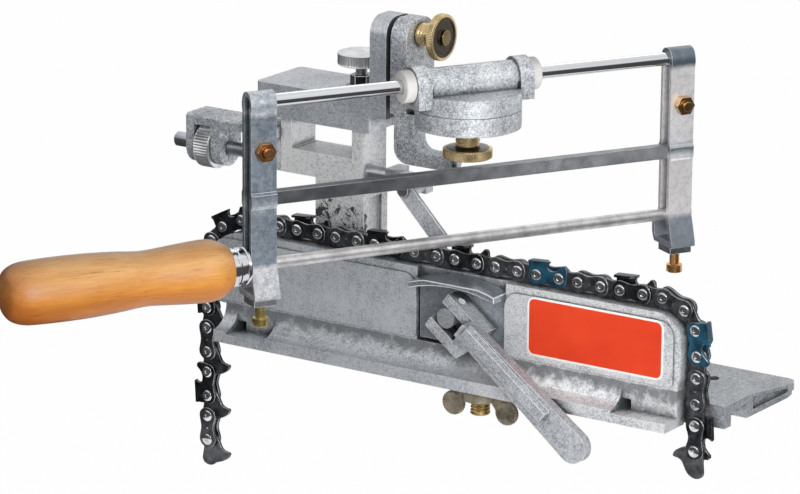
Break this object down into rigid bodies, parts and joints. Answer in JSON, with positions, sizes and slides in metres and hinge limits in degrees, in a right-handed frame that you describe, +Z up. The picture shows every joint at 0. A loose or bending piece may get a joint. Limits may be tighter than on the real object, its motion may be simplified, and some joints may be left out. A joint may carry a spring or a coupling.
{
  "type": "bench-mounted saw chain filing fixture",
  "caption": "Bench-mounted saw chain filing fixture: a grooved rail holds the chain while a swivelling, tilting bow carries a round and a flat file along a guide rod.",
  "frame": {"origin": "midway between the two bench screw holes, on the bench surface under the plate", "axes": "+X along the rail to the right, +Y back from the rail over the bench, +Z up"},
  "size_m": [0.2705, 0.2601, 0.1994],
  "materials": {
    "cast_aluminium": "cast, light grey, fine grain",
    "turned_aluminium": "turned and knurled",
    "zinc_steel": "zinc plated, bluish grey",
    "bright_rod": "polished",
    "file_steel": "dark file steel, cut faces",
    "round_file_steel": "light file steel, spiral cut",
    "brass": "turned, semi bright",
    "yellow_screws": "yellow passivated",
    "white_plastic": "smooth, cream white",
    "handle_wood": "lacquered, orange yellow",
    "chain_steel": "dark, oiled",
    "cutter_steel": "plated cutters",
    "marked_steel": "blue marking on the cutter",
    "lever_steel": "cast steel, satin"
  },
  "bodies": {
    "base": {"bench_plate": "cast_aluminium", "plate_screws": "zinc_steel", "rail_body": "cast_aluminium", "column": "cast_aluminium", "column_screws": "zinc_steel", "stop_bracket": "cast_aluminium", "base_stud": "brass", "chain_tie_links": "chain_steel", "chain_cutter_links": "cutter_steel", "chain_marked_cutters": "marked_steel", "chain_drive_links": "chain_steel", "draw_bolt": "zinc_steel", "draw_nut": "zinc_steel", "lever_pin": "zinc_steel"},
    "wing_nut": {"wing_nut": "brass"},
    "clamp_jaw": {"clamp_jaw": "lever_steel"},
    "clamp_lever": {"clamp_lever": "lever_steel"},
    "carriage": {"carriage": "cast_aluminium", "tilt_bolt": "zinc_steel", "lock_washer": "zinc_steel", "lock_nut": "zinc_steel"},
    "height_screw": {"height_knob": "turned_aluminium", "height_spindle": "zinc_steel"},
    "bracket": {"swivel_bracket": "cast_aluminium", "tilt_washer": "zinc_steel", "limb_screw": "zinc_steel"},
    "tilt_knob": {"tilt_knob": "brass"},
    "housing": {"bearing_housing": "cast_aluminium", "bushing_left": "white_plastic", "bushing_right": "white_plastic", "swivel_stud": "zinc_steel"},
    "swivel_knob": {"swivel_knob": "brass"},
    "bow_slider": {"guide_rod": "bright_rod"},
    "bow": {"post_left": "zinc_steel", "post_right": "zinc_steel", "flat_file": "file_steel", "round_file": "round_file_steel", "pinch_bolts": "yellow_screws", "pinch_nuts": "zinc_steel", "file_clamp_screws": "yellow_screws", "file_clamp_nuts": "zinc_steel", "handle": "handle_wood", "ferrule": "zinc_steel"},
    "stop_slider": {"stop_rod": "zinc_steel", "stop_arm": "zinc_steel", "pawl_pin": "zinc_steel"},
    "stop_wheel": {"stop_wheel": "turned_aluminium"},
    "pawl": {"stop_pawl": "zinc_steel"}
  },
  "joints": [
    {"name": "wing_nut_turn", "type": "hinge", "parent": "base", "child": "wing_nut", "pos_m": [0.0125, -0.044, 0], "axis": [0, 0, 1], "continuous": true},
    {"name": "lever_swing", "type": "hinge", "parent": "base", "child": "clamp_lever", "pos_m": [0, -0.04705, 0.0297], "axis": [-0.6088, 0, -0.7934], "range_deg": [0, 90]},
    {"name": "jaw_slide", "type": "slide", "parent": "base", "child": "clamp_jaw", "axis": [0, -1, 0], "range_m": [0, 0.0004]},
    {"name": "height_slide", "type": "slide", "parent": "base", "child": "carriage", "axis": [0, 0, 1], "range_m": [0, 0.008]},
    {"name": "height_turn", "type": "hinge", "parent": "carriage", "child": "height_screw", "pos_m": [-0.0646, -0.0145, 0.1132], "axis": [0, 0, 1], "range_deg": [0, 2880]},
    {"name": "tilt", "type": "hinge", "parent": "carriage", "child": "bracket", "pos_m": [-0.038, -0.0175, 0.1323], "axis": [-1, 0, 0], "range_deg": [0, 10]},
    {"name": "tilt_knob_turn", "type": "hinge", "parent": "carriage", "child": "tilt_knob", "pos_m": [-0.03, -0.0175, 0.1323], "axis": [1, 0, 0], "continuous": true},
    {"name": "swivel", "type": "hinge", "parent": "bracket", "child": "housing", "pos_m": [0, -0.036, 0.1115], "axis": [0, 0, 1], "range_deg": [0, 60]},
    {"name": "swivel_knob_turn", "type": "hinge", "parent": "housing", "child": "swivel_knob", "pos_m": [0, -0.036, 0.093], "axis": [0, 0, 1], "continuous": true},
    {"name": "bow_stroke", "type": "slide", "parent": "housing", "child": "bow_slider", "axis": [0.5, 0.866, 0], "range_m": [-0.055, 0.051]},
    {"name": "bow_swing", "type": "hinge", "parent": "bow_slider", "child": "bow", "pos_m": [0, -0.036, 0.12215], "axis": [-0.5, -0.866, 0], "range_deg": [0, 110]},
    {"name": "stop_slide", "type": "slide", "parent": "base", "child": "stop_slider", "axis": [1, 0, 0], "range_m": [-0.01, 0]},
    {"name": "stop_wheel_turn", "type": "hinge", "parent": "base", "child": "stop_wheel", "pos_m": [-0.133, -0.0212, 0.0738], "axis": [1, 0, 0], "range_deg": [-3600, 0]},
    {"name": "pawl_swing", "type": "hinge", "parent": "stop_slider", "child": "pawl", "pos_m": [-0.029, -0.036, 0.0738], "axis": [0, -1, 0], "range_deg": [0, 40]}
  ],
  "couplings": [
    {"joint": "jaw_slide", "follows": "lever_swing", "m_per_rad": 0.00025465},
    {"joint": "height_turn", "follows": "height_slide", "rad_per_m": 6283.2},
    {"joint": "stop_wheel_turn", "follows": "stop_slide", "rad_per_m": 6283.2}
  ]
}
